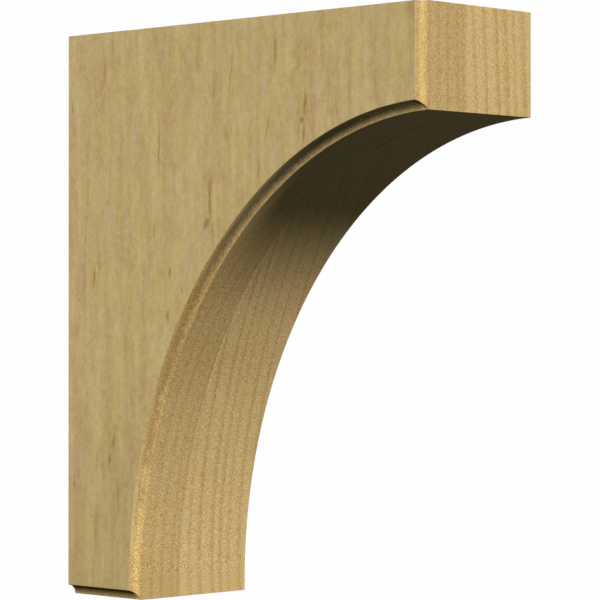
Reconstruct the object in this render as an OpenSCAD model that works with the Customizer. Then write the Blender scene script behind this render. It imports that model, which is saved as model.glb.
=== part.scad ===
// Wooden corbel bracket: one solid block with a square nose at the top, a deep hollow
// swept out beneath it and a narrow foot, and a small cove along the exposed side edges.
// Millimetres. +X runs across the width, -Y out from the wall and +Z up.
// The origin is the middle of the flat back, which bears on the wall.

/* [Block] */
// Width across the front
width = 102; // [85:1:125]
// Depth from the wall to the front face
depth = 302; // [250:1:365]
// Height from the underside of the foot to the top
height = 356; // [295:1:430]

/* [Nose and foot] */
// Height of the front face, above the hollow
nose_h = 62; // [50:1:76]
// Depth of the foot's underside, out from the wall
foot_d = 63; // [50:1:76]

/* [Hollow] */
// Height of the foot's upright front edge, below the curve
foot_rise = 6; // [4:0.5:12]
// Distance of the curve's centre in front of the front face
centre_reach = 6; // [3:0.5:12]

/* [Cove] */
// Radius of the cove along the front, hollow and foot edges of both sides
cove_r = 5.8; // [3:0.1:8]

/* [Hidden] */

// Facets in a full turn of a round cut
$fn = 192;
// How far a cut runs past the face it opens
over = 1;
// Turn of the hollow's cove: a quarter, and on until it is clear below the foot
cove_turn = 100;

// Levels of the underside of the foot and of the top
base_z = -height / 2;
top_z = height / 2;

// The hollow is a quarter of an oval: its reach out from the foot, and its rise to the nose
hollow_reach = depth + centre_reach - foot_d;
hollow_rise = (height - nose_h - foot_rise) / sqrt(1 - pow(centre_reach / hollow_reach, 2));
// Radius of the round that is stretched along Y and Z into that oval
hollow_r = sqrt(hollow_reach * hollow_rise);
stretch_y = hollow_reach / hollow_r;
stretch_z = hollow_rise / hollow_r;

// Squared block that the corbel is worked from
module block() {
    translate([-width / 2, -depth, base_z]) cube([width, depth, height]);
}

// Stretches a round of radius hollow_r, turned about Z, into the hollow's oval about X
module hollow_oval() {
    translate([0, -depth - centre_reach, base_z + foot_rise])
        scale([1, stretch_y, stretch_z])
            rotate([0, 90, 0]) children();
}

// Everything below the nose and in front of the foot
module hollow() {
    hollow_oval() cylinder(r = hollow_r, h = width + 2 * over, center = true);
    translate([-width / 2 - over, -depth - centre_reach, base_z - over])
        cube([width + 2 * over, hollow_reach, foot_rise + over]);
}

// Cove cutter for one side, centred on the edges that it softens
module cove_run() {
    // Up the front edge of the nose
    translate([0, -depth, top_z - nose_h - over]) cylinder(r = cove_r, h = nose_h + 2 * over);
    // Round the hollow, from above its centre down past the foot's upright edge
    hollow_oval() mirror([1, 0, 0]) rotate_extrude(angle = cove_turn)
        translate([hollow_r, 0]) circle(r = cove_r);
    // Back to the wall along the underside of the foot
    translate([0, over, base_z]) rotate([90, 0, 0]) cylinder(r = cove_r, h = foot_d + 2 * over);
}

module corbel() {
    color([0.77, 0.66, 0.44]) difference() {
        block();
        hollow();
        for (side = [-1, 1]) translate([side * width / 2, 0, 0]) cove_run();
    }
}

corbel();
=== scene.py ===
"""Looks of a carved wooden corbel bracket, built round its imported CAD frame.

Metres in the CAD's own frame: +X runs across the width, -Y out from the wall and +Z up, and the
origin is the middle of the flat back. The patterns in the wood are laid out in millimetres: across
the width from its middle, out from the wall, and up from the underside of the foot.
"""

import logging
import math
from dataclasses import dataclass
from enum import Enum
from typing import Any, ClassVar

import bmesh
import bpy
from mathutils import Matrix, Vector


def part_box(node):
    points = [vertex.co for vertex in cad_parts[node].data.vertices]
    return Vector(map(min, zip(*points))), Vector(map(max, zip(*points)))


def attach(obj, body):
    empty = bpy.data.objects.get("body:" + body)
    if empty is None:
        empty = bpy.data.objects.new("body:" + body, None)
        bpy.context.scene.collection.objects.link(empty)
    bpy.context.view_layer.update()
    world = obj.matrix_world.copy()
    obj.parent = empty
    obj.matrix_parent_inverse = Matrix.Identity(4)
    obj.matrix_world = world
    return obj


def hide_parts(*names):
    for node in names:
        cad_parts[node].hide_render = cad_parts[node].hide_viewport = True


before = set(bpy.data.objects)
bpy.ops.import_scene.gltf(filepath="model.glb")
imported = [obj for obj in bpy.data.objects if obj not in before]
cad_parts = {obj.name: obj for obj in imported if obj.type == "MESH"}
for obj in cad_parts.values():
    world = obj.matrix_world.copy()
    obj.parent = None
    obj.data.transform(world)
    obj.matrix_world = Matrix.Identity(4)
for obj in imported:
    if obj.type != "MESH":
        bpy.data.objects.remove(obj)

LOG = logging.getLogger("corbel")
CAD_NODE = "corbel"
CAD_BODY = "root"
MM = 0.001
TOUCH = 1e-5  # a face whose middle is this near a plane lies on it
FLAT = 0.99  # a face whose normal follows an axis by this much is square to it

Colour = tuple[float, float, float]
Place = tuple[float, float, float]
Span = tuple[float, float]  # where something starts to fade in, and where it is whole
Stripe = tuple[float, float]  # the middle of a soft stripe, and half its width
Socket = bpy.types.NodeSocket


# ---------------------------------------------------------------- the block


@dataclass(frozen=True)
class Sizes:
    """The corbel's sizes in metres. The outer ones are read from its CAD node."""

    width: float
    depth: float
    height: float
    base: float
    nose_h: float = 0.062
    foot_d: float = 0.063
    foot_rise: float = 0.006
    centre_reach: float = 0.006
    cove_r: float = 0.0058
    arris_r: float = 0.0004

    @classmethod
    def from_frame(cls, node: str) -> "Sizes":
        """Reads the outer sizes of a CAD node.

        Args:
            node: Name of the CAD node.

        Returns:
            The sizes, with the shape's inner ones at their set values.
        """
        low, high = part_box(node)
        return cls(high.x - low.x, high.y - low.y, high.z - low.z, low.z)

    @property
    def top(self) -> float:
        """Level of the flat top."""
        return self.base + self.height

    @property
    def cheek_x(self) -> float:
        """Distance of each side face from the middle of the width."""
        return self.width / 2

    @property
    def hollow_reach(self) -> float:
        """How far the hollow's oval runs from its centre to the foot."""
        return self.depth + self.centre_reach - self.foot_d

    @property
    def hollow_turn(self) -> float:
        """Angle of the oval between the foot and the front face, in radians."""
        return math.acos(self.centre_reach / self.hollow_reach)

    @property
    def hollow_rise(self) -> float:
        """How far the oval rises above its centre."""
        return (self.height - self.nose_h - self.foot_rise) / math.sin(self.hollow_turn)


class Face(Enum):
    """The corbel's faces by how they cut the grain, with their order on the piece."""

    CHEEK = 0
    EDGE = 1
    END = 2
    BACK = 3


@dataclass
class CorbelBlock:
    """The one solid block, with its hollow and its coves, made in place of the CAD node."""

    sizes: Sizes
    hollow_steps: int = 96
    cove_steps: int = 12
    arris_steps: int = 2
    spare_coves: float = 4
    cut_merge: float = 1e-7
    arris_angle: float = math.radians(35)
    crease_angle: float = math.radians(15)

    def build(self, finishes: dict[Face, bpy.types.Material]) -> bpy.types.Object:
        """Makes the block, gives it its finishes and puts it on the frame.

        Args:
            finishes: The material for each way that the faces cut the grain.

        Returns:
            The finished piece.
        """
        bm = bmesh.new()
        self._build_layers(bm)
        self._trim(bm, Vector((0, 0, 0)), Vector((0, 1, 0)))
        self._trim(bm, Vector((0, 0, self.sizes.top)), Vector((0, 0, 1)))
        self._ease_arrises(bm)
        self._sort_faces(bm)
        mesh = bpy.data.meshes.new("corbel_block")
        bm.to_mesh(mesh)
        bm.free()
        for face in Face:
            mesh.materials.append(finishes[face])
        piece = bpy.data.objects.new("corbel_block", mesh)
        bpy.context.scene.collection.objects.link(piece)
        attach(piece, CAD_BODY)
        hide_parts(CAD_NODE)
        return piece

    def _build_layers(self, bm: bmesh.types.BMesh) -> None:
        """Draws the outline at each step across the width and joins the outlines up.

        The steps in each cove follow its quarter round, so neighbouring coves meet in true mitres.

        Args:
            bm: The block.
        """
        s = self.sizes
        turns = [k * math.pi / 2 / self.cove_steps for k in range(self.cove_steps + 1)]
        steps = [(s.cheek_x - s.cove_r * math.cos(t), s.cove_r * math.sin(t)) for t in turns]
        stations = [(-across, inset) for across, inset in reversed(steps)] + steps
        rims = [self._draw_outline(bm, across, inset) for across, inset in stations]
        for near, far in zip(rims, rims[1:]):
            bmesh.ops.bridge_loops(bm, edges=near + far)
        for rim in (rims[0], rims[-1]):
            bmesh.ops.contextual_create(bm, geom=rim)

    def _draw_outline(
        self, bm: bmesh.types.BMesh, across: float, inset: float
    ) -> list[bmesh.types.BMEdge]:
        """Draws one side outline, run on past the back and the top for trimming.

        Args:
            bm: The block.
            across: Where the outline stands across the width.
            inset: How far it stands back from the hollow, the front and the underside.

        Returns:
            The outline's edges.
        """
        s = self.sizes
        spare = self.spare_coves * s.cove_r
        before = set(bm.verts)
        reach, rise = s.hollow_reach + inset, s.hollow_rise + inset
        seed = bmesh.ops.create_vert(bm, co=(0, 1, 0))["vert"]
        bmesh.ops.spin(
            bm, geom=seed, cent=(0, 0, 0), axis=(1, 0, 0), dvec=(0, 0, 0),
            angle=math.acos((s.centre_reach + inset) / reach), steps=self.hollow_steps,
        )
        arc = [v for v in bm.verts if v not in before]
        bmesh.ops.scale(bm, vec=(1, reach, rise), verts=arc)
        centre = (across, -s.depth - s.centre_reach, s.base + s.foot_rise)
        bmesh.ops.translate(bm, vec=centre, verts=arc)
        foot_end, nose_end = sorted((v for v in arc if len(v.link_edges) == 1), key=lambda v: v.co.z)
        corners = (
            (across, inset - s.depth, s.top + spare),
            (across, spare, s.top + spare),
            (across, spare, s.base + inset),
            (across, inset - s.foot_d, s.base + inset),
        )
        chain = [nose_end, *(bm.verts.new(c) for c in corners), foot_end]
        for start, end in zip(chain, chain[1:]):
            bm.edges.new((start, end))
        drawn = [v for v in bm.verts if v not in before]
        return list({edge for vert in drawn for edge in vert.link_edges})

    def _trim(self, bm: bmesh.types.BMesh, at: Vector, facing: Vector) -> None:
        """Saws the spare off at a plane and closes the cut.

        Args:
            bm: The block.
            at: A point on the plane.
            facing: The side that is sawn off.
        """
        geom = bm.verts[:] + bm.edges[:] + bm.faces[:]
        cut = bmesh.ops.bisect_plane(
            bm, geom=geom, dist=self.cut_merge, plane_co=at, plane_no=facing, clear_outer=True
        )["geom_cut"]
        rim = [g for g in cut if isinstance(g, bmesh.types.BMEdge)]
        bmesh.ops.contextual_create(bm, geom=rim)
        bmesh.ops.recalc_face_normals(bm, faces=bm.faces[:])

    def _in_cove(self, face: bmesh.types.BMFace) -> bool:
        """True if the face is part of a cove."""
        across = abs(face.calc_center_median().x)
        return self.sizes.cheek_x - self.sizes.cove_r < across < self.sizes.cheek_x - TOUCH

    def _ease_arrises(self, bm: bmesh.types.BMesh) -> None:
        """Takes the sharpness off every arris, and leaves the mitres inside the coves crisp.

        Args:
            bm: The block.
        """
        arrises = [
            e for e in bm.edges
            if e.calc_face_angle(0) > self.arris_angle
            and not all(self._in_cove(f) for f in e.link_faces)
        ]
        bmesh.ops.bevel(
            bm, geom=arrises, affect="EDGES", offset=self.sizes.arris_r, offset_type="OFFSET",
            segments=self.arris_steps, profile=0.5, material=-1, clamp_overlap=True,
        )

    def _sort_faces(self, bm: bmesh.types.BMesh) -> None:
        """Gives each face its finish and its shading.

        Args:
            bm: The block.
        """
        s = self.sizes
        for face in bm.faces:
            face.smooth = True
            face.material_index = Face.EDGE.value
            at = face.calc_center_median()
            if abs(face.normal.x) > FLAT and abs(at.x) > s.cheek_x - TOUCH:
                face.material_index = Face.CHEEK.value
            elif abs(face.normal.z) > FLAT and not s.base + TOUCH < at.z < s.top - TOUCH:
                face.material_index = Face.END.value
            elif face.normal.y > FLAT:
                face.material_index = Face.BACK.value
        for edge in bm.edges:
            edge.smooth = edge.calc_face_angle(0) < self.crease_angle


# ---------------------------------------------------------------- nodes


@dataclass(frozen=True)
class Noise:
    """Smooth noise about 0, from about -0.5 to 0.5.

    Args:
        grain: Size of its grains across, out and up, in millimetres.
        detail: Number of finer layers.
        rough: Strength of the finer layers.
        twist: How far the noise bends itself.
    """

    grain: Place
    detail: float = 2
    rough: float = 0.5
    twist: float = 0


class Bench:
    """Lays nodes in one node tree and hands back their output sockets."""

    def __init__(self, tree: bpy.types.NodeTree) -> None:
        """Takes the tree that the nodes go in."""
        self.tree = tree

    def lay(self, kind: str, **settings: Any) -> bpy.types.Node:
        """Lays one node.

        Args:
            kind: The node's type name.
            settings: Its own settings, by name.

        Returns:
            The node.
        """
        node = self.tree.nodes.new(kind)
        for name, value in settings.items():
            setattr(node, name, value)
        return node

    def feed(self, socket: Socket, value: Any) -> None:
        """Links a socket into an input, or sets the input to a plain value.

        Args:
            socket: The input.
            value: What it is fed.
        """
        if isinstance(value, bpy.types.NodeSocket):
            self.tree.links.new(value, socket)
        else:
            socket.default_value = value

    def maths(self, operation: str, *values: Any) -> Socket:
        """Lays a Math node.

        Args:
            operation: The node's operation.
            values: One to three values that it works on.

        Returns:
            The result.
        """
        node = self.lay("ShaderNodeMath", operation=operation)
        for socket, value in zip(node.inputs, values):
            self.feed(socket, value)
        return node.outputs[0]

    def product(self, first: Any, *others: Any) -> Any:
        """Multiplies values together.

        Args:
            first: The first value.
            others: Those that it is multiplied by.

        Returns:
            The product.
        """
        for other in others:
            first = self.maths("MULTIPLY", first, other)
        return first

    def total(self, *parts: tuple[Any, Any], start: Any = 0.0) -> Any:
        """Adds up values, each times its own weight.

        Args:
            parts: Each value and its weight.
            start: What they are added to.

        Returns:
            The sum.
        """
        for value, weight in parts:
            start = self.maths("MULTIPLY_ADD", value, weight, start)
        return start

    def vector(self, operation: str, *values: Any) -> Socket:
        """Lays a Vector Math node.

        Args:
            operation: The node's operation.
            values: One or two vectors that it works on.

        Returns:
            The resulting vector, or the length.
        """
        node = self.lay("ShaderNodeVectorMath", operation=operation)
        for socket, value in zip(node.inputs, values):
            self.feed(socket, value)
        return node.outputs["Value" if operation == "LENGTH" else "Vector"]

    def scaled(self, vector: Any, by: Any) -> Socket:
        """Multiplies a vector or a colour by one value.

        Args:
            vector: The vector or colour.
            by: The value.

        Returns:
            The scaled vector.
        """
        node = self.lay("ShaderNodeVectorMath", operation="SCALE")
        self.feed(node.inputs[0], vector)
        self.feed(node.inputs["Scale"], by)
        return node.outputs[0]

    def joined(self, x: Any, y: Any, z: Any) -> Socket:
        """Joins three values into a vector.

        Args:
            x: Its first value.
            y: Its second value.
            z: Its third value.

        Returns:
            The vector.
        """
        node = self.lay("ShaderNodeCombineXYZ")
        for socket, value in zip(node.inputs, (x, y, z)):
            self.feed(socket, value)
        return node.outputs[0]

    def split(self, vector: Any) -> tuple[Socket, Socket, Socket]:
        """Splits a vector.

        Args:
            vector: The vector.

        Returns:
            Its three values.
        """
        node = self.lay("ShaderNodeSeparateXYZ")
        self.feed(node.inputs[0], vector)
        return node.outputs[0], node.outputs[1], node.outputs[2]

    def grade(self, value: Any, start: float, end: float, low: float = 0, high: float = 1) -> Socket:
        """Eases a value from low at start to high at end.

        Args:
            value: What is graded.
            start: Where the result is low.
            end: Where the result is high.
            low: The result at start and before it.
            high: The result at end and past it.

        Returns:
            The graded value.
        """
        turned = start > end
        node = self.lay("ShaderNodeMapRange", interpolation_type="SMOOTHSTEP")
        ends = (end, start, high, low) if turned else (start, end, low, high)
        for socket, number in zip(node.inputs, (value, *ends)):
            self.feed(socket, number)
        return node.outputs[0]

    def stripe(self, value: Any, stripe: Stripe, *masks: Any) -> Any:
        """Lays a soft stripe, where all of its masks show it.

        Args:
            value: The place across the stripe.
            stripe: Its middle and half its width.
            masks: What it is multiplied by.

        Returns:
            A mask, 1 in the stripe's middle and 0 past its edges.
        """
        middle, half = stripe
        off = self.maths("ABSOLUTE", self.maths("SUBTRACT", value, middle))
        return self.product(self.grade(off, half, 0), *masks)

    def noise(self, point: Any, noise: Noise) -> Socket:
        """Lays noise.

        Args:
            point: Where it is read, in millimetres.
            noise: Its kind.

        Returns:
            The noise, about 0.
        """
        node = self.lay("ShaderNodeTexNoise")
        stretched = self.vector("MULTIPLY", point, tuple(1 / size for size in noise.grain))
        self.feed(node.inputs["Vector"], stretched)
        self.feed(node.inputs["Scale"], 1.0)
        self.feed(node.inputs["Detail"], noise.detail)
        self.feed(node.inputs["Roughness"], noise.rough)
        self.feed(node.inputs["Distortion"], noise.twist)
        return self.maths("SUBTRACT", node.outputs[0], 0.5)

    def blend(self, share: Any, under: Any, over: Any, mode: str = "MIX") -> Socket:
        """Blends one colour over another.

        Args:
            share: How much of the upper colour shows, from 0 to 1.
            under: The lower colour.
            over: The upper colour.
            mode: The Mix node's blending.

        Returns:
            The blended colour.
        """
        node = self.lay("ShaderNodeMix", data_type="RGBA", blend_type=mode)
        for socket, value in ((0, share), (6, under), (7, over)):
            self.feed(node.inputs[socket], (*value, 1) if isinstance(value, tuple) else value)
        return node.outputs[2]

    def effect(self, tree: bpy.types.NodeTree, **inputs: Any) -> dict[str, Socket]:
        """Places a node group.

        Args:
            tree: The group.
            inputs: What each input is fed, by name.

        Returns:
            Its outputs, by name.
        """
        node = self.lay("ShaderNodeGroup", node_tree=tree)
        for name, value in inputs.items():
            self.feed(node.inputs[name], value)
        return {socket.name: socket for socket in node.outputs}


class Effect:
    """A shader node group that the finishes share. Each kind says its sockets and lays its nodes."""

    title = "effect"
    takes: dict[str, str] = {"Point": "NodeSocketVector"}
    gives: dict[str, str] = {}

    def __init__(self) -> None:
        """Builds the group."""
        self.tree = bpy.data.node_groups.new(self.title, "ShaderNodeTree")
        for side, sockets in (("INPUT", self.takes), ("OUTPUT", self.gives)):
            for name, kind in sockets.items():
                self.tree.interface.new_socket(name, in_out=side, socket_type=kind)
        bench = Bench(self.tree)
        start = bench.lay("NodeGroupInput").outputs
        end = bench.lay("NodeGroupOutput").inputs
        for name, socket in self.lay_nodes(bench, start).items():
            bench.feed(end[name], socket)

    def lay_nodes(self, bench: Bench, given: Any) -> dict[str, Socket]:
        """Lays the group's nodes.

        Args:
            bench: Where they are laid.
            given: The group's inputs, by name.

        Returns:
            What each output shows.
        """
        raise NotImplementedError


# ---------------------------------------------------------------- patterns in the wood


@dataclass(frozen=True)
class Ring:
    """A growth line: its place across the board in millimetres, its depth of tone and its width."""

    place: float
    depth: float = 1.0
    width: float = 2.8


JOINT_X = -13.0  # glued joint between the two boards, across the width
FOOT_OUT = 63.0  # how far out the foot's front is, where both boards' rings start to lean

LEFT_RINGS = (
    Ring(-14.6, 0.8, 1.6), Ring(-19.3, 0.45), Ring(-28.4, 0.6), Ring(-36.8, 0.6),
    Ring(-45.5, 0.5), Ring(-54, 0.6), Ring(-60, 0.5), Ring(-67, 0.5), Ring(-71.5, 0.5),
    Ring(-80, 0.6), Ring(-88, 0.6), Ring(-96, 0.5),
)
RIGHT_RINGS = (
    Ring(-3.0, 0.7), Ring(5.7), Ring(17.0), Ring(24.2), Ring(31.4, 0.6), Ring(41), Ring(50.5),
    Ring(63), Ring(72, 0.8), Ring(84), Ring(94, 0.7), Ring(106), Ring(116, 0.8), Ring(127),
    Ring(138, 0.8), Ring(149), Ring(158.8, 0.75), Ring(168), Ring(179.0, 1.15, 3.4),
    Ring(187.5, 1.2, 4.4), Ring(194.6, 0.8, 3.2), Ring(203, 0.95, 4), Ring(213, 0.7), Ring(224),
    Ring(235, 0.8),
)


class GrowthRings(Effect):
    """Growth lines through both boards of the block, and the glued joint between the boards."""

    title = "growth rings"
    gives = {
        "Line": "NodeSocketFloat",
        "Right": "NodeSocketFloat",
        "Joint": "NodeSocketFloat",
        "Tone": "NodeSocketFloat",
    }
    sway = Noise((60, 60, 55), detail=1)  # slow wander of the lines, and how far it takes them
    sway_by = 1.6
    ripple = Noise((9, 9, 22))  # quick wander of the lines
    ripple_by = 0.45
    left_bend = -0.0009  # how far the lines bend and slant as they run out past the foot's front
    right_bend = 0.00212
    right_slant = 0.118
    right_rise = 0.045  # how far they slant with the height
    crisp_start: Span = (110, 215)  # heights where the lines are at most half as wide
    crisp_end: Span = (300, 285)
    fade = Noise((30, 30, 45))  # how the lines' strength varies about 1
    drift = Noise((14, 1, 1))  # how the tone varies from ring to ring
    change: Span = (JOINT_X - 0.25, JOINT_X + 0.25)
    joint: Stripe = (JOINT_X, 0.6)
    pale: Stripe = (JOINT_X + 1.0, 1.3)  # the paler strip beside the joint
    pale_depth = -0.75
    pale_start: Span = (90, 130)
    pale_end: Span = (285, 250)
    soft_side = 1.45  # reach of a line's soft and hard sides, in widths
    hard_side = 0.65

    def lay_nodes(self, bench: Bench, given: Any) -> dict[str, Socket]:
        """Lays the lines of each board, and shows them on its own side of the joint.

        Args:
            bench: Where they are laid.
            given: The group's inputs, by name.

        Returns:
            What each output shows.
        """
        point = given["Point"]
        straight, out, up = bench.split(point)
        sway, ripple = bench.noise(point, self.sway), bench.noise(point, self.ripple)
        across = bench.total((sway, self.sway_by), (ripple, self.ripple_by), start=straight)
        lean = bench.maths("MAXIMUM", bench.maths("SUBTRACT", out, FOOT_OUT), 0)
        square = bench.product(lean, lean)
        left = bench.total((square, self.left_bend), start=across)
        right = bench.total(
            (square, self.right_bend), (lean, self.right_slant), (up, self.right_rise), start=across
        )
        side = bench.grade(straight, *self.change)
        crisp = bench.product(bench.grade(up, *self.crisp_start), bench.grade(up, *self.crisp_end))
        sharp = bench.maths("ADD", crisp, 1)
        left_lines = self._lines(bench, left, sharp, LEFT_RINGS)
        right_lines = self._lines(bench, right, sharp, RIGHT_RINGS)
        line = bench.product(left_lines, bench.maths("SUBTRACT", 1, side))
        line = bench.total((right_lines, side), start=line)
        line = bench.product(line, bench.maths("ADD", bench.noise(point, self.fade), 1))
        pale_part = bench.grade(up, *self.pale_start), bench.grade(up, *self.pale_end)
        pale = bench.stripe(straight, self.pale, *pale_part)
        mixed = bench.total((bench.maths("SUBTRACT", right, left), side), start=left)
        return {
            "Line": bench.total((pale, self.pale_depth), start=line),
            "Right": side,
            "Joint": bench.stripe(straight, self.joint),
            "Tone": bench.noise(bench.joined(mixed, 0, 0), self.drift),
        }

    def _lines(self, bench: Bench, along: Socket, sharp: Socket, rings: tuple[Ring, ...]) -> Socket:
        """Lays a board's growth lines, each with a long soft side and a short hard one.

        Args:
            bench: Where they are laid.
            along: The board's ring coordinate, in millimetres.
            sharp: How many times narrower than their full width the lines are.
            rings: Its growth lines.

        Returns:
            A mask, 1 in the middle of a full line and 0 between the lines.
        """
        mask: Any = 0.0
        for ring in rings:
            off = bench.product(bench.maths("SUBTRACT", along, ring.place), sharp)
            soft = bench.product(off, -1 / (self.soft_side * ring.width))
            hard = bench.product(off, 1 / (self.hard_side * ring.width))
            away = bench.maths("MAXIMUM", soft, hard)
            mask = bench.maths("MAXIMUM", mask, bench.grade(away, 1, 0, 0, ring.depth))
        return mask


class FineGrain(Effect):
    """The fine speckle of cut fibres and pores."""

    title = "fine grain"
    takes = {"Point": "NodeSocketVector", "Stretch": "NodeSocketVector"}
    gives = {"Speckle": "NodeSocketFloat", "Fibre": "NodeSocketFloat"}
    speckle = Noise((0.70, 0.70, 0.70), detail=1, rough=0.6)
    fibre = Noise((1.1, 1.1, 9), detail=3, rough=0.6)

    def lay_nodes(self, bench: Bench, given: Any) -> dict[str, Socket]:
        """Lays round speckle, and fibres drawn out along the grain.

        Args:
            bench: Where they are laid.
            given: The group's inputs, by name.

        Returns:
            What each output shows.
        """
        drawn = bench.vector("DIVIDE", given["Point"], given["Stretch"])
        return {
            "Speckle": bench.noise(drawn, self.speckle),
            "Fibre": bench.noise(given["Point"], self.fibre),
        }


class Figure(Effect):
    """The broad figure of a face cut along the rings: streaks, patches and drifts of tone."""

    title = "face figure"
    gives = {
        "Mottle": "NodeSocketFloat",
        "Streak": "NodeSocketFloat",
        "Patch": "NodeSocketFloat",
        "Warmth": "NodeSocketFloat",
    }
    mottle = Noise((2.6, 2.6, 3.2), twist=0.4)
    streak = Noise((6.5, 6.5, 90), detail=3, twist=0.3)
    patch = Noise((9, 9, 17), detail=3, twist=0.9)
    warmth = Noise((7, 7, 26), twist=0.7)
    elsewhere: Place = (70, 40, 90)  # how far off the warmth is read, so that it goes its own way

    def lay_nodes(self, bench: Bench, given: Any) -> dict[str, Socket]:
        """Lays four sizes of noise, the broad ones drawn out along the grain.

        Args:
            bench: Where they are laid.
            given: The group's inputs, by name.

        Returns:
            What each output shows.
        """
        point = given["Point"]
        return {
            "Mottle": bench.noise(point, self.mottle),
            "Streak": bench.noise(point, self.streak),
            "Patch": bench.noise(point, self.patch),
            "Warmth": bench.noise(bench.vector("ADD", point, self.elsewhere), self.warmth),
        }


@dataclass(frozen=True)
class Fleck:
    """A dark fleck in a side face, in millimetres and degrees.

    Args:
        out: Its middle's distance from the wall.
        up: Its middle's height above the underside of the foot.
        long: Its length.
        wide: Its width.
        lean: How far its top leans out from the wall.
        depth: How dark it is, from 0 to 1.
        halo: Whether the wood round it is stained.
    """

    out: float
    up: float
    long: float
    wide: float
    lean: float = 0
    depth: float = 0.6
    halo: bool = False


FLECKS = (
    Fleck(35, 331, 15, 1.5, 0, 0.6, True),
    Fleck(4, 310, 12, 1.4, 0, 0.6),
    Fleck(84.3, 281, 44, 1.2, 0, 0.75),
    Fleck(80, 231, 16, 1.1, 0, 0.6),
    Fleck(147.7, 322, 46, 1.1, 6, 0.55),
    Fleck(144, 287, 13, 4.5, -10, 0.42),
    Fleck(185.3, 334, 32, 1.5, 2, 0.66, True),
    Fleck(178.5, 290, 24, 1.2, 10, 0.55),
    Fleck(171, 264, 22, 1.1, 4, 0.5),
    Fleck(209.8, 302, 20, 1.8, 3, 0.7, True),
    Fleck(207.5, 292.5, 6, 3.2, 40, 0.74),
    Fleck(208.6, 284, 16, 2.0, 2, 0.75),
    Fleck(235, 298, 12, 1.2, -12, 0.6),
    Fleck(129.5, 248, 40, 1.9, 1, 0.65, True),
    Fleck(129.5, 257.5, 9, 3.0, 0, 0.5),
    Fleck(126.5, 233.5, 11, 4.0, 30, 0.8),
    Fleck(132, 229, 20, 1.3, -5, 0.5),
    Fleck(94.5, 204, 10, 2.0, 4, 0.8),
    Fleck(92.8, 177, 10, 1.8, 0, 0.75),
    Fleck(105, 193.5, 8, 1.3, -8, 0.6),
    Fleck(24.7, 202, 15, 2.0, 2, 0.8, True),
    Fleck(29.3, 208, 17, 1.3, 3, 0.55),
    Fleck(43, 98, 13, 1.8, 8, 0.7, True),
    Fleck(39, 87, 10, 2.2, 8, 0.68),
    Fleck(5.5, 71, 11, 1.3, 5, 0.6),
    Fleck(47.5, 64, 13, 1.1, 4, 0.35),
    Fleck(294, 351, 14, 9, 0, 0.35),
    Fleck(37.5, 248.5, 5, 2.6, 0, 0.4),
    Fleck(49, 113, 8, 1.6, 5, 0.42),
)


class Flecks(Effect):
    """Short dark flecks along the grain of a side face, and the stain round some of them."""

    title = "side flecks"
    gives = {"Core": "NodeSocketFloat", "Halo": "NodeSocketFloat"}
    ragged = Noise((1.6, 1.6, 4), detail=3, rough=0.65)  # breaks up the flecks' edges
    ragged_by = 1.3
    drift = Noise((20, 20, 11), detail=1)  # bends the flecks
    drift_by = 2.2
    stain_wider = 5.0
    stain_longer = 16.0
    half_wide = 0.8  # a little over half, because the edges fade
    half_long = 0.5
    fade: Span = (1.1, 0.1)
    strength = 0.9

    def lay_nodes(self, bench: Bench, given: Any) -> dict[str, Socket]:
        """Lays every fleck, with its edges broken up.

        Args:
            bench: Where they are laid.
            given: The group's inputs, by name.

        Returns:
            What each output shows.
        """
        point = given["Point"]
        _, out, up = bench.split(point)
        ragged, drift = bench.noise(point, self.ragged), bench.noise(point, self.drift)
        out = bench.total((ragged, self.ragged_by), (drift, self.drift_by), start=out)
        flat = bench.joined(out, up, 0)
        core: Any = 0.0
        halo: Any = 0.0
        for fleck in FLECKS:
            core = bench.maths("MAXIMUM", core, self._mark(bench, flat, fleck, 0, 0))
            if fleck.halo:
                stain = self._mark(bench, flat, fleck, self.stain_wider, self.stain_longer)
                halo = bench.maths("MAXIMUM", halo, stain)
        return {"Core": core, "Halo": halo}

    def _mark(self, bench: Bench, flat: Socket, fleck: Fleck, wider: float, longer: float) -> Socket:
        """Lays one fleck.

        Args:
            bench: Where it is laid.
            flat: The point on the side face: out, up.
            fleck: The fleck.
            wider: Extra width, for its stain.
            longer: Extra length, for its stain.

        Returns:
            A mask, deepest in the fleck's middle.
        """
        node = bench.lay("ShaderNodeMapping", vector_type="TEXTURE")
        bench.feed(node.inputs["Vector"], flat)
        bench.feed(node.inputs["Location"], (fleck.out, fleck.up, 0))
        bench.feed(node.inputs["Rotation"], (0, 0, -math.radians(fleck.lean)))
        half = (fleck.wide + wider) * self.half_wide, (fleck.long + longer) * self.half_long, 1
        bench.feed(node.inputs["Scale"], half)
        away = bench.vector("LENGTH", node.outputs[0])
        return bench.grade(away, *self.fade, 0, fleck.depth * self.strength)


# ---------------------------------------------------------------- finishes


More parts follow.
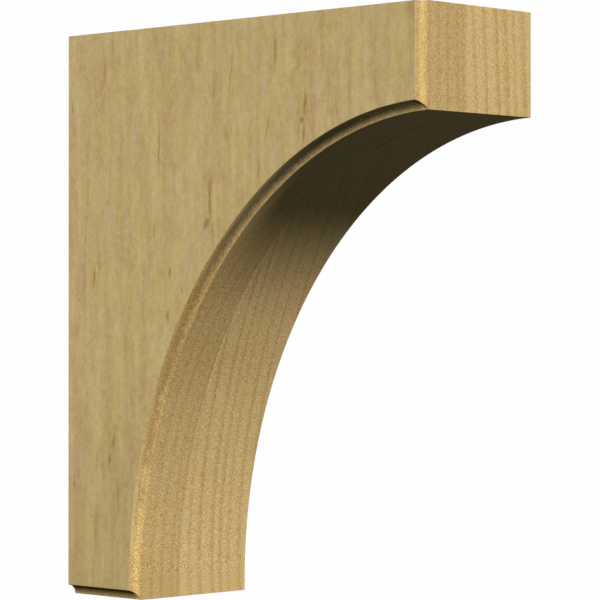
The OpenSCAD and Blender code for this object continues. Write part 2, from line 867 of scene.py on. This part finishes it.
@dataclass(frozen=True)
class WoodTones:
    """Colours of the bare wood, and what each mark multiplies them by; the coves' marks include
    painted highlights and painted shade.
    """

    left_board: Colour = (0.533, 0.3585, 0.1405)
    right_board: Colour = (0.616, 0.425, 0.177)
    cheek: Colour = (0.5335, 0.389, 0.163)
    edge_shift: Colour = (0.77, 1.0, 1.57)
    cheek_shift: Colour = (0.60, 1.0, 1.45)
    warmth_shift: Colour = (0.08, 0.25, -0.40)
    hollow_shift: Colour = (-0.08, 0.02, 0.17)
    fresh_cove: Colour = (1.07, 1.09, 1.06)
    worn_cove: Colour = (1.01, 1.04, 1.04)
    # painted highlight on the coves of the nose and the foot
    cove_painted_highlight: Colour = (1.16, 1.17, 1.17)
    cove_line: Colour = (0.95, 0.89, 0.82)
    # brown, partly the wood's colour and partly painted shade in the hollow's cove
    cove_brown_and_shade: Colour = (0.84, 0.75, 0.68)
    # painted shade high in the hollow's cove
    cove_painted_shade: Colour = (0.70, 0.70, 0.80)
    cove_wisp: Colour = (0.74, 0.74, 0.70)
    cove_blush: Colour = (0.96, 0.905, 0.89)
    # painted highlight along the side face's edge in the hollow's cove
    cove_arris_highlight: Colour = (1.28, 1.36, 1.38)
    # painted shade along the nose's mitre
    cove_mitre_shade: Colour = (0.36, 0.32, 0.34)
    # painted shade on the upper strip of the underside's cove
    cove_underside_shade: Colour = (0.32, 0.25, 0.07)
    fleck_tint: Colour = (0.46, 0.35, 0.12)
    stain_tint: Colour = (0.95, 0.86, 0.75)


@dataclass(frozen=True)
class Gloss:
    """How matt the bare wood is, and how deep its grain feels."""

    roughness: float = 0.62
    specular: float = 0.25
    bump: float = 0.25
    relief: float = 0.15 * MM


@dataclass(frozen=True)
class Patterns:
    """The node groups that the finishes share."""

    rings: bpy.types.NodeTree
    grain: bpy.types.NodeTree
    figure: bpy.types.NodeTree
    flecks: bpy.types.NodeTree

    @classmethod
    def build(cls) -> "Patterns":
        """Builds each group once."""
        return cls(GrowthRings().tree, FineGrain().tree, Figure().tree, Flecks().tree)


@dataclass(frozen=True)
class Skin:
    """What a finish shows at a point: its colour, its relief about 0 and its extra roughness."""

    colour: Socket
    relief: Socket
    dull: Socket


@dataclass(frozen=True)
class Finish:
    """One cut of the wood. Each kind lays its own skin, and they all share the shader."""

    sizes: Sizes
    patterns: Patterns
    tones: WoodTones = WoodTones()
    gloss: Gloss = Gloss()
    title: ClassVar[str] = "wood"
    stretch: ClassVar[Place] = (1, 1, 1)  # how far the speckle is drawn out each way

    def build(self) -> bpy.types.Material:
        """Lays the point in millimetres, the kind's own skin, and the shader.

        Returns:
            The material.
        """
        material = bpy.data.materials.new(self.title)
        material.use_nodes = True
        material.node_tree.nodes.clear()
        bench = Bench(material.node_tree)
        place = bench.lay("ShaderNodeTexCoord").outputs["Object"]
        moved = bench.vector("ADD", place, (0, 0, -self.sizes.base))
        skin = self.lay_skin(bench, bench.vector("MULTIPLY", moved, (1 / MM, -1 / MM, 1 / MM)))
        bump = bench.lay("ShaderNodeBump")
        bench.feed(bump.inputs["Height"], skin.relief)
        bench.feed(bump.inputs["Strength"], self.gloss.bump)
        bench.feed(bump.inputs["Distance"], self.gloss.relief)
        shader = bench.lay("ShaderNodeBsdfPrincipled")
        bench.feed(shader.inputs["Base Color"], skin.colour)
        bench.feed(shader.inputs["Roughness"], bench.maths("ADD", skin.dull, self.gloss.roughness))
        bench.feed(shader.inputs["Specular IOR Level"], self.gloss.specular)
        bench.feed(shader.inputs["Normal"], bump.outputs[0])
        end = bench.lay("ShaderNodeOutputMaterial")
        bench.feed(end.inputs["Surface"], shader.outputs[0])
        return material

    def lay_skin(self, bench: Bench, point: Socket) -> Skin:
        """Lays the finish's own nodes.

        Args:
            bench: The material's bench.
            point: The point in millimetres: across, out and up.

        Returns:
            What the finish shows there.
        """
        raise NotImplementedError

    def wood(self, bench: Bench, point: Socket) -> tuple[dict[str, Socket], dict[str, Socket]]:
        """Lays the growth lines and the fine grain, and gives the outputs of each by name."""
        rings = bench.effect(self.patterns.rings, Point=point)
        return rings, bench.effect(self.patterns.grain, Point=point, Stretch=self.stretch)

    def boards(self, bench: Bench, right: Any) -> Socket:
        """Lays the two boards' colours, the right one's where the mask is 1."""
        return bench.blend(right, self.tones.left_board, self.tones.right_board)

    def shaded(self, bench: Bench, colour: Any, tone: Any, shift: Colour) -> Socket:
        """Lightens or darkens the wood along one line of colours.

        Args:
            bench: The material's bench.
            colour: The wood's colour.
            tone: How much lighter it gets, about 0.
            shift: How far each of red, green and blue follows.

        Returns:
            The shaded colour.
        """
        level = bench.vector("ADD", bench.scaled(shift, tone), (1, 1, 1))
        return bench.vector("MULTIPLY", colour, level)


@dataclass(frozen=True)
class CheekFinish(Finish):
    """The side faces: streaky, softly mottled wood with dark flecks."""

    title: ClassVar[str] = "wood_cheek"
    stretch: ClassVar[Place] = (1, 1, 1.4)
    mottle: float = 0.42
    streak: float = 0.52
    patch: float = 0.46
    fibre: float = 0.05
    speckle: float = 0.32
    line: float = -0.03
    streak_dull: float = 0.12
    fleck_pit: float = -0.8
    # painted shade: the side face is darkened towards the foot, to this much at the first of these
    # heights and not at all past the second
    painted_foot_shade: float = 0.925
    painted_shade_span: Span = (20, 190)
    turn_out: float = 318  # on the right side the same flecks are turned about these two places
    turn_up: float = 14

    def lay_skin(self, bench: Bench, point: Socket) -> Skin:
        """Lays the blotches and streaks, painted shade towards the foot, and the flecks over them.

        Args:
            bench: The material's bench.
            point: The point in millimetres: across, out and up.

        Returns:
            What the finish shows there.
        """
        tones = self.tones
        _, _, up = bench.split(point)
        marks = bench.effect(self.patterns.flecks, Point=self._fleck_point(bench, point))
        figure = bench.effect(self.patterns.figure, Point=point)
        rings, grain = self.wood(bench, point)
        tone = bench.total(
            (figure["Mottle"], self.mottle),
            (figure["Streak"], self.streak),
            (figure["Patch"], self.patch),
            (grain["Fibre"], self.fibre),
            (grain["Speckle"], self.speckle),
            (rings["Line"], self.line),
        )
        colour = self.shaded(bench, tones.cheek, tone, tones.cheek_shift)
        colour = self.shaded(bench, colour, figure["Warmth"], tones.warmth_shift)
        # Painted shade, darker towards the foot.
        colour = bench.scaled(colour, bench.grade(up, *self.painted_shade_span, self.painted_foot_shade, 1))
        colour = bench.blend(marks["Halo"], colour, tones.stain_tint, "MULTIPLY")
        colour = bench.blend(marks["Core"], colour, tones.fleck_tint, "MULTIPLY")
        relief = bench.total((marks["Core"], self.fleck_pit), start=grain["Fibre"])
        return Skin(colour, relief, bench.product(figure["Streak"], self.streak_dull))

    def _fleck_point(self, bench: Bench, point: Socket) -> Socket:
        """Turns the flecks about on the right side.

        Args:
            bench: The material's bench.
            point: The point in millimetres: across, out and up.

        Returns:
            The point that they are read at.
        """
        across, out, up = bench.split(point)
        turned_out = bench.maths("SUBTRACT", self.turn_out, out)
        turned = bench.joined(across, turned_out, bench.maths("SUBTRACT", up, self.turn_up))
        left = bench.maths("LESS_THAN", across, 0)
        back = bench.scaled(bench.vector("SUBTRACT", point, turned), left)
        return bench.vector("ADD", turned, back)


@dataclass(frozen=True)
class CoveColourAndPaintedLight:
    """The coves' colour, bright at the nose and the foot and browner round the hollow, with painted
    highlights and painted shade over it.

    A stripe lies at a depth in from the side face and a span at a height, in millimetres, unless
    its comment says otherwise.
    """

    sizes: Sizes
    tones: WoodTones
    foot_end: Span = (81, 85)  # where the bright wood of the foot ends, and the nose's starts
    nose_start: Span = (298, 290)
    ragged: Noise = Noise((3, 3, 7), detail=3)
    ragged_by: float = 12
    hollow_end: Span = (295, 290)
    painted_shade_start: Span = (205, 228)  # where the brown stripe turns to painted shade, darker and greyer
    wisps: Noise = Noise((3.2, 3.2, 6), detail=3, rough=0.6, twist=1.2)
    wander_by: float = 5
    wisps_by: float = 0.6
    brown_and_shade_band: Stripe = (3.6, 3.2)  # the brown stripe round the hollow: partly the wood's colour, partly painted shade under the side face's edge
    light: Stripe = (4.3, 1.9)  # painted highlight: the brightest stripe in the coves of the nose and the foot
    highlight_end: Span = (35, 60)
    line: Stripe = (1.7, 1.3)  # the faint brown line down the nose
    line_start: Span = (294, 298)
    low: Stripe = (3.2, 1.8)  # the brown wisps above the foot
    low_start: Span = (24, 62)
    low_patches: Noise = Noise((3.4, 3.4, 8))
    low_patch: Span = (-0.16, 0.08)  # strengths of that noise
    blush: Span = (3.2, 1.6)  # depths where the foot's cove is deeper in colour
    blush_end: Span = (34, 22)
    arris_highlight: Stripe = (0.8, 1.9)  # painted highlight along the side face's edge, high in the hollow
    arris_highlight_start: Span = (185, 212)
    arris_highlight_end: Span = (275, 255)
    below: Span = (7, 6)
    below_front: Span = (57.5, 56)  # places out from the wall
    # heights where the painted shade of the underside's cove begins, behind the foot's front
    underside_shade: Span = (3.4, 4.5)
    mitre_start: Span = (0.03, 0.15)  # distances behind the nose's mitre, where its painted shade lies
    mitre_end: Span = (3.0, 0.6)
    brim: float = 0.2  # half the width over which the stain starts, at the cove's inner edge

    def lay(self, bench: Bench, point: Socket) -> Socket:
        """Lays the coves' colour, with its painted highlights and painted shade.

        Args:
            bench: The material's bench.
            point: The point in millimetres: across, out and up.

        Returns:
            What the wood's colour is multiplied by, white outside the coves.
        """
        tones = self.tones
        across, out, up = bench.split(point)
        depth = bench.maths("SUBTRACT", self.sizes.cheek_x / MM, bench.maths("ABSOLUTE", across))
        ragged = bench.total((bench.noise(point, self.ragged), self.ragged_by), start=up)
        brown = bench.product(
            bench.grade(ragged, *self.foot_end), bench.grade(ragged, *self.nose_start)
        )
        plain = bench.maths("SUBTRACT", 1, brown)
        hollow = bench.grade(up, *self.hollow_end)
        front = bench.grade(out, *self.below_front)
        wisps = bench.noise(point, self.wisps)
        wander = bench.total((wisps, self.wander_by), start=depth)

        # Painted highlight along the coves of the nose and the foot, left off in the middle of the
        # hollow and under the foot.
        dimmed = bench.product(bench.grade(up, *self.highlight_end), hollow)
        below = bench.product(bench.grade(up, *self.below), front)
        lit = (bench.maths("SUBTRACT", 1, mask) for mask in (dimmed, below))
        light = bench.stripe(depth, self.light, plain, *lit)
        line = bench.stripe(depth, self.line, bench.grade(up, *self.line_start))
        # Brown stripe in the hollow's cove, partly the wood's colour and partly painted shade.
        brown_and_shade_band = bench.stripe(wander, self.brown_and_shade_band, brown)
        patches = bench.grade(bench.noise(point, self.low_patches), *self.low_patch)
        low_start = bench.grade(up, *self.low_start)
        low = bench.stripe(wander, self.low, low_start, patches, plain, hollow)
        blush = bench.product(bench.grade(depth, *self.blush), bench.grade(up, *self.blush_end))
        # Painted highlight along the side face's edge, high in the hollow.
        arris_highlight_part = bench.grade(up, *self.arris_highlight_start), bench.grade(up, *self.arris_highlight_end)
        arris_highlight = bench.stripe(depth, self.arris_highlight, *arris_highlight_part)
        # Painted shade on the upper strip of the underside's cove, next to the side face.
        end = bench.product(bench.grade(up, *self.underside_shade), front)

        tint = bench.blend(brown, tones.fresh_cove, tones.worn_cove)
        # High in the hollow the brown stripe turns to painted shade, darker and greyer.
        brown_and_shade_tint = bench.blend(bench.grade(up, *self.painted_shade_start), tones.cove_brown_and_shade, tones.cove_painted_shade)
        layers = (
            (light, tones.cove_painted_highlight), (line, tones.cove_line), (brown_and_shade_band, brown_and_shade_tint),
            (low, tones.cove_wisp), (blush, tones.cove_blush), (arris_highlight, tones.cove_arris_highlight),
            (self._mitre_shade(bench, depth, out), tones.cove_mitre_shade), (end, tones.cove_underside_shade),
        )
        for share, colour in layers:
            tint = bench.blend(share, tint, colour, "MULTIPLY")
        tint = bench.scaled(tint, bench.total((wisps, self.wisps_by), start=1))
        edge = self.sizes.cove_r / MM
        inside = bench.grade(depth, edge + self.brim, edge - self.brim)
        return bench.blend(inside, (1.0, 1.0, 1.0), tint)

    def _mitre_shade(self, bench: Bench, depth: Socket, out: Socket) -> Socket:
        """Lays painted shade: a dark line where the hollow's cove runs into the front's at the nose.

        Args:
            bench: The material's bench.
            depth: How far in from the side face the point is.
            out: How far out from the wall it is.

        Returns:
            A mask, on the hollow's side of the mitre only.
        """
        edge = self.sizes.cove_r / MM
        square = bench.maths("SUBTRACT", edge * edge, bench.product(depth, depth))
        inset = bench.maths("SQRT", bench.maths("MAXIMUM", square, 0))
        front = bench.maths("SUBTRACT", self.sizes.depth / MM, inset)
        behind = bench.maths("SUBTRACT", front, out)
        return bench.product(
            bench.grade(behind, *self.mitre_start), bench.grade(behind, *self.mitre_end)
        )


@dataclass(frozen=True)
class EdgeFinish(Finish):
    """The front, the hollow and the coves: straight growth lines and a fine speckle."""

    title: ClassVar[str] = "wood_edge"
    stretch: ClassVar[Place] = (1, 1, 1.1)
    line: float = -0.20
    drift: float = 0.15
    fibre: float = 0.14
    joint: float = -0.06
    check: float = -0.42
    line_gloss: float = -0.05
    front_speckle: float = 1.22
    left_speckle: float = 0.95  # what the hollow adds to the speckle on the left board
    right_speckle: float = -0.25  # and how much less it adds on the right one
    deep_speckle: float = -1.2
    deep_even: float = 0.8  # how far the boards' colours even out high in the shaded hollow: a painted lift of the darker left board
    hollow_top: Span = (295.5, 294)
    deep_span: Span = (205, 250)
    lines_end: Span = (275, 250)
    lines_again: Span = (293.5, 294.5)
    hue: Noise = Noise((18, 18, 34))
    check_place: Stripe = (-5.4, 1.1)
    check_wobble: Noise = Noise((8, 8, 8))
    wobble_by: float = 4
    check_start: Span = (272, 278)
    check_end: Span = (291.5, 288)
    # painted light low in the hollow, fading in and out over these heights
    pale_start: Span = (8, 45)
    pale_end: Span = (150, 115)
    painted_light_left: float = 0.11  # how far the painted light lifts the left board low in the hollow
    painted_light_right: float = -0.055  # and how much less it lifts the right one

    def lay_skin(self, bench: Bench, point: Socket) -> Skin:
        """Lays the two boards with their lines, the speckle, and the coves' colour with its painted
        highlights and painted shade.

        Args:
            bench: The material's bench.
            point: The point in millimetres: across, out and up.

        Returns:
            What the finish shows there.
        """
        tones = self.tones
        _, _, up = bench.split(point)
        rings, grain = self.wood(bench, point)
        hollow = bench.grade(up, *self.hollow_top)
        # High in the hollow, where the shade falls, the boards' colours are evened, a painted lift
        # of the darker left board, and the speckle is faded.
        shaded_deep = bench.product(bench.grade(up, *self.deep_span), hollow)
        right = bench.maths("MAXIMUM", rings["Right"], bench.product(shaded_deep, self.deep_even))
        shown = bench.maths(
            "MAXIMUM", bench.grade(up, *self.lines_end), bench.grade(up, *self.lines_again)
        )
        coarser = bench.total((rings["Right"], self.right_speckle), start=self.left_speckle)
        grains = bench.total(
            (hollow, coarser), (shaded_deep, self.deep_speckle), start=self.front_speckle
        )
        tone = bench.total(
            (bench.product(rings["Line"], shown), self.line),
            (rings["Tone"], self.drift),
            (grain["Speckle"], grains),
            (grain["Fibre"], self.fibre),
            (rings["Joint"], self.joint),
            (self._check(bench, point), self.check),
            # Painted light low in the hollow.
            start=self._painted_light_low(bench, rings["Right"], up),
        )
        colour = self.shaded(bench, self.boards(bench, right), tone, tones.edge_shift)
        colour = self.shaded(bench, colour, bench.noise(point, self.hue), tones.hollow_shift)
        # The coves' colour, with painted highlights and painted shade.
        colour = bench.vector("MULTIPLY", colour, CoveColourAndPaintedLight(self.sizes, tones).lay(bench, point))
        return Skin(colour, grain["Speckle"], bench.product(rings["Line"], self.line_gloss))

    def _check(self, bench: Bench, point: Socket) -> Socket:
        """Lays the fine dark drying check high up in the hollow.

        Args:
            bench: The material's bench.
            point: The point in millimetres: across, out and up.

        Returns:
            A mask, 1 along its middle.
        """
        across, _, up = bench.split(point)
        wobble = bench.noise(point, self.check_wobble)
        place = bench.total((wobble, self.wobble_by), start=across)
        part = bench.grade(up, *self.check_start), bench.grade(up, *self.check_end)
        return bench.stripe(place, self.check_place, *part)

    def _painted_light_low(self, bench: Bench, right: Socket, up: Socket) -> Socket:
        """Lays painted light: the wood low in the hollow, where it faces the front lamp, is made
        slightly lighter, more on the left board.

        Args:
            bench: The material's bench.
            right: 1 on the right board.
            up: The height in millimetres.

        Returns:
            What is added to the tone.
        """
        low = bench.product(bench.grade(up, *self.pale_start), bench.grade(up, *self.pale_end))
        return bench.product(low, bench.total((right, self.painted_light_right), start=self.painted_light_left))


@dataclass(frozen=True)
class EndFinish(Finish):
    """The top and the foot's underside: end grain with its rings, pores and rays."""

    title: ClassVar[str] = "wood_end"
    stretch: ClassVar[Place] = (0.8, 0.8, 1)
    rays: Noise = Noise((0.7, 14, 3), detail=3, rough=0.6)
    darker: float = -0.16
    line: float = -0.28
    drift: float = 0.16
    speckle: float = 0.7
    ray: float = 0.22
    joint: float = -0.2
    ray_dull: float = 0.1

    def lay_skin(self, bench: Bench, point: Socket) -> Skin:
        """Lays the rings end on, with short rays across them.

        Args:
            bench: The material's bench.
            point: The point in millimetres: across, out and up.

        Returns:
            What the finish shows there.
        """
        rings, grain = self.wood(bench, point)
        rays = bench.noise(point, self.rays)
        tone = bench.total(
            (rings["Line"], self.line),
            (rings["Tone"], self.drift),
            (grain["Speckle"], self.speckle),
            (rays, self.ray),
            (rings["Joint"], self.joint),
            start=self.darker,
        )
        colour = self.boards(bench, rings["Right"])
        colour = self.shaded(bench, colour, tone, self.tones.edge_shift)
        return Skin(colour, grain["Speckle"], bench.product(rays, self.ray_dull))


@dataclass(frozen=True)
class BackFinish(Finish):
    """The back: the edge grain again, left with faint saw marks across it."""

    title: ClassVar[str] = "wood_back"
    stretch: ClassVar[Place] = (1, 1, 1.6)
    saw: Noise = Noise((90, 90, 1.7), rough=0.6)
    darker: float = -0.08
    line: float = -0.17
    drift: float = 0.1
    speckle: float = 0.7
    fibre: float = 0.2
    kerf: float = 0.14
    joint: float = -0.15
    kerf_relief: float = 1.6
    kerf_dull: float = 0.1

    def lay_skin(self, bench: Bench, point: Socket) -> Skin:
        """Lays the boards with their lines, and the saw marks over them.

        Args:
            bench: The material's bench.
            point: The point in millimetres: across, out and up.

        Returns:
            What the finish shows there.
        """
        rings, grain = self.wood(bench, point)
        kerf = bench.noise(point, self.saw)
        tone = bench.total(
            (rings["Line"], self.line),
            (rings["Tone"], self.drift),
            (grain["Speckle"], self.speckle),
            (grain["Fibre"], self.fibre),
            (kerf, self.kerf),
            (rings["Joint"], self.joint),
            start=self.darker,
        )
        colour = self.boards(bench, rings["Right"])
        colour = self.shaded(bench, colour, tone, self.tones.edge_shift)
        relief = bench.total((kerf, self.kerf_relief), start=grain["Fibre"])
        return Skin(colour, relief, bench.product(kerf, self.kerf_dull))


def make_finishes(sizes: Sizes) -> dict[Face, bpy.types.Material]:
    """Makes the finish for each way that a face cuts the grain.

    Args:
        sizes: The corbel's sizes.

    Returns:
        The material for each kind of face.
    """
    patterns = Patterns.build()
    kinds = {
        Face.CHEEK: CheekFinish, Face.EDGE: EdgeFinish, Face.END: EndFinish, Face.BACK: BackFinish,
    }
    return {face: kind(sizes, patterns).build() for face, kind in kinds.items()}


# ---------------------------------------------------------------- studio


@dataclass(frozen=True)
class Lamp:
    """A far, round soft light, as even over the corbel as a big window.

    Args:
        name: Its name.
        azimuth: Degrees round from the front, towards +X.
        elevation: Degrees above the horizon.
        strength: In watts a square metre.
        spread: How wide it looks from the corbel, in degrees.
    """

    name: str
    azimuth: float
    elevation: float
    strength: float
    spread: float = 11


LAMPS = (
    Lamp("front_key", -3, 26.5, 3.0, 11.5),
    Lamp("left_fill", -96, 39, 2.95, 36),
    Lamp("right_fill", 96, 20, 2.44, 36),
    Lamp("back_fill", 180, 6, 2.28, 18),
)


@dataclass(frozen=True)
class CameraStand:
    """Where the camera stands, in metres and degrees, and its lens in millimetres."""

    place: Place = (-1.22935, -1.34705, -0.00145)
    heading: float = 45.92
    tilt: float = 0.353
    lens: float = 167.5
    sensor: float = 36.0


@dataclass
class Studio:
    """The plain studio: camera, lamps, pale floor and white surround."""

    sizes: Sizes
    stand: CameraStand = CameraStand()
    floor_drop: float = 0.30
    floor_size: float = 3.0
    ambient: Colour = (0.052, 0.060, 0.058)
    white: float = 0.991
    lamp_reach: float = 2.0

    def build(self) -> None:
        """Sets up everything round the object."""
        self._set_camera()
        for lamp in LAMPS:
            self._hang(lamp)
        self._lay_floor()
        self._surround()
        bpy.context.scene.view_settings.view_transform = "Standard"

    def _set_camera(self) -> None:
        """Makes the camera and sets it as the scene's own."""
        data = bpy.data.cameras.new("camera")
        data.lens = self.stand.lens
        data.sensor_width = self.stand.sensor
        camera = bpy.data.objects.new("camera", data)
        camera.location = self.stand.place
        camera.rotation_euler = (
            math.radians(90 + self.stand.tilt), 0, -math.radians(self.stand.heading)
        )
        bpy.context.scene.collection.objects.link(camera)
        bpy.context.scene.camera = camera

    def _hang(self, lamp: Lamp) -> None:
        """Hangs one lamp, aimed at the middle of the corbel.

        Args:
            lamp: The lamp.
        """
        data = bpy.data.lights.new(lamp.name, "SUN")
        data.angle = math.radians(lamp.spread)
        data.energy = lamp.strength
        azimuth, elevation = math.radians(lamp.azimuth), math.radians(lamp.elevation)
        towards = Vector((
            math.sin(azimuth) * math.cos(elevation),
            -math.cos(azimuth) * math.cos(elevation),
            math.sin(elevation),
        ))
        light = bpy.data.objects.new(lamp.name, data)
        light.location = Vector((0, -self.sizes.depth / 2, 0)) + towards * self.lamp_reach
        light.rotation_euler = towards.to_track_quat("Z", "Y").to_euler()
        bpy.context.scene.collection.objects.link(light)

    def _lay_floor(self) -> None:
        """Lays the pale floor, which shows from above and lets the camera look up through it."""
        bm = bmesh.new()
        bmesh.ops.create_grid(bm, x_segments=1, y_segments=1, size=self.floor_size)
        level = self.sizes.base - self.floor_drop
        bmesh.ops.translate(bm, vec=(0, 0, level), verts=bm.verts)
        mesh = bpy.data.meshes.new("floor")
        bm.to_mesh(mesh)
        bm.free()
        mesh.materials.append(self._floor_finish())
        floor = bpy.data.objects.new("floor", mesh)
        bpy.context.scene.collection.objects.link(floor)
        for kind in ("diffuse", "glossy", "transmission", "shadow"):
            setattr(floor, f"visible_{kind}", False)

    def _floor_finish(self) -> bpy.types.Material:
        """Makes an even white, like a light table's, that is clear from below.

        Returns:
            The floor's material.
        """
        material = bpy.data.materials.new("floor_white")
        material.use_nodes = True
        material.node_tree.nodes.clear()
        bench = Bench(material.node_tree)
        glow = bench.lay("ShaderNodeEmission")
        bench.feed(glow.inputs["Strength"], self.white)
        clear = bench.lay("ShaderNodeBsdfTransparent")
        below = bench.lay("ShaderNodeNewGeometry").outputs["Backfacing"]
        mixed = bench.lay("ShaderNodeMixShader")
        for socket, value in zip(mixed.inputs, (below, glow.outputs[0], clear.outputs[0])):
            bench.feed(socket, value)
        end = bench.lay("ShaderNodeOutputMaterial")
        bench.feed(end.inputs["Surface"], mixed.outputs[0])
        return material

    def _surround(self) -> None:
        """White to the camera, and a dim even light on the object."""
        world = bpy.data.worlds.new("surround")
        world.use_nodes = True
        world.node_tree.nodes.clear()
        bench = Bench(world.node_tree)
        seen = bench.lay("ShaderNodeLightPath").outputs["Is Camera Ray"]
        sky = bench.lay("ShaderNodeBackground")
        bench.feed(sky.inputs["Color"], bench.blend(seen, self.ambient, (self.white,) * 3))
        end = bench.lay("ShaderNodeOutputWorld")
        bench.feed(end.inputs["Surface"], sky.outputs[0])
        bpy.context.scene.world = world


# ---------------------------------------------------------------- build


def main() -> None:
    """Builds the corbel and the studio round it, and reports each piece."""
    logging.basicConfig(level=logging.INFO, format="%(name)s: %(message)s")
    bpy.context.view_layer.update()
    sizes = Sizes.from_frame(CAD_NODE)
    piece = CorbelBlock(sizes).build(make_finishes(sizes))
    LOG.info("%s: %d faces, %d finishes", piece.name, len(piece.data.polygons), len(Face))
    Studio(sizes).build()
    LOG.info("studio: %d lamps", len(LAMPS))


if __name__ == "__main__":
    main()
